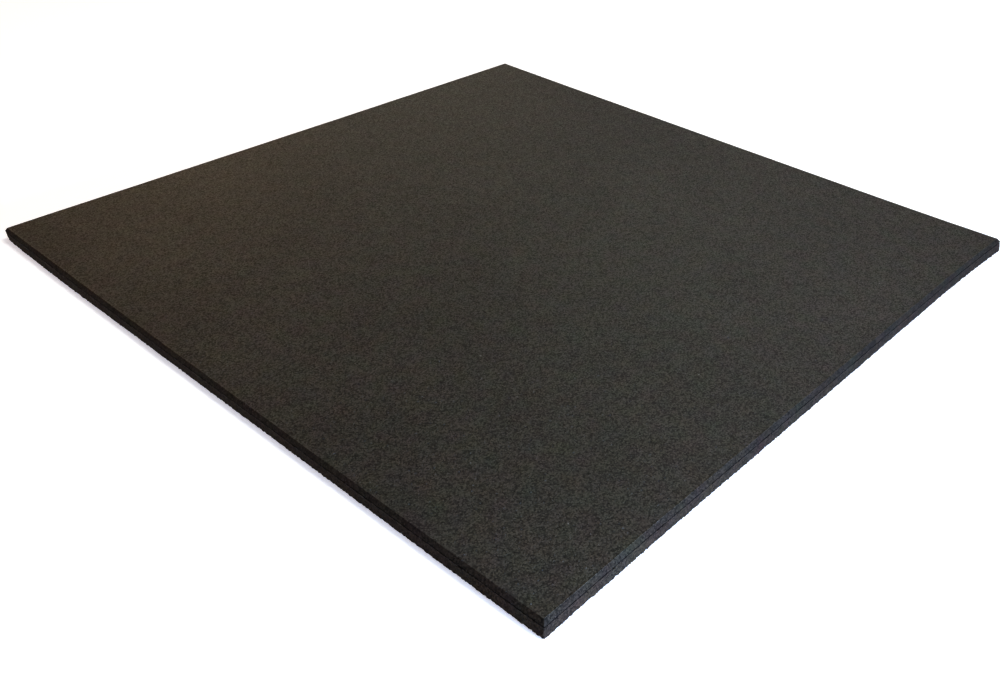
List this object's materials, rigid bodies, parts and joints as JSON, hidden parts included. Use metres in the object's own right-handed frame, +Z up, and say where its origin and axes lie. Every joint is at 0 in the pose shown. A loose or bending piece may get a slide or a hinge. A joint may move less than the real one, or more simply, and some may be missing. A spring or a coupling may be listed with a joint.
{
  "type": "rubber floor tile",
  "caption": "Flat square floor tile of bonded rubber crumb, chamfered along its top edges, with upright sides that butt against the next tile.",
  "frame": {"origin": "centre of the underside, where the tile's middle lies on the floor", "axes": "+Z up, normal to the wearing face; X and Y along the tile's sides"},
  "size_m": [1, 1, 0.02],
  "materials": {
    "rubber": "matt, fine-grained bonded rubber crumb, near black with a slight warm cast"
  },
  "bodies": {
    "root": {"rubber_tile": "rubber"}
  },
  "joints": []
}
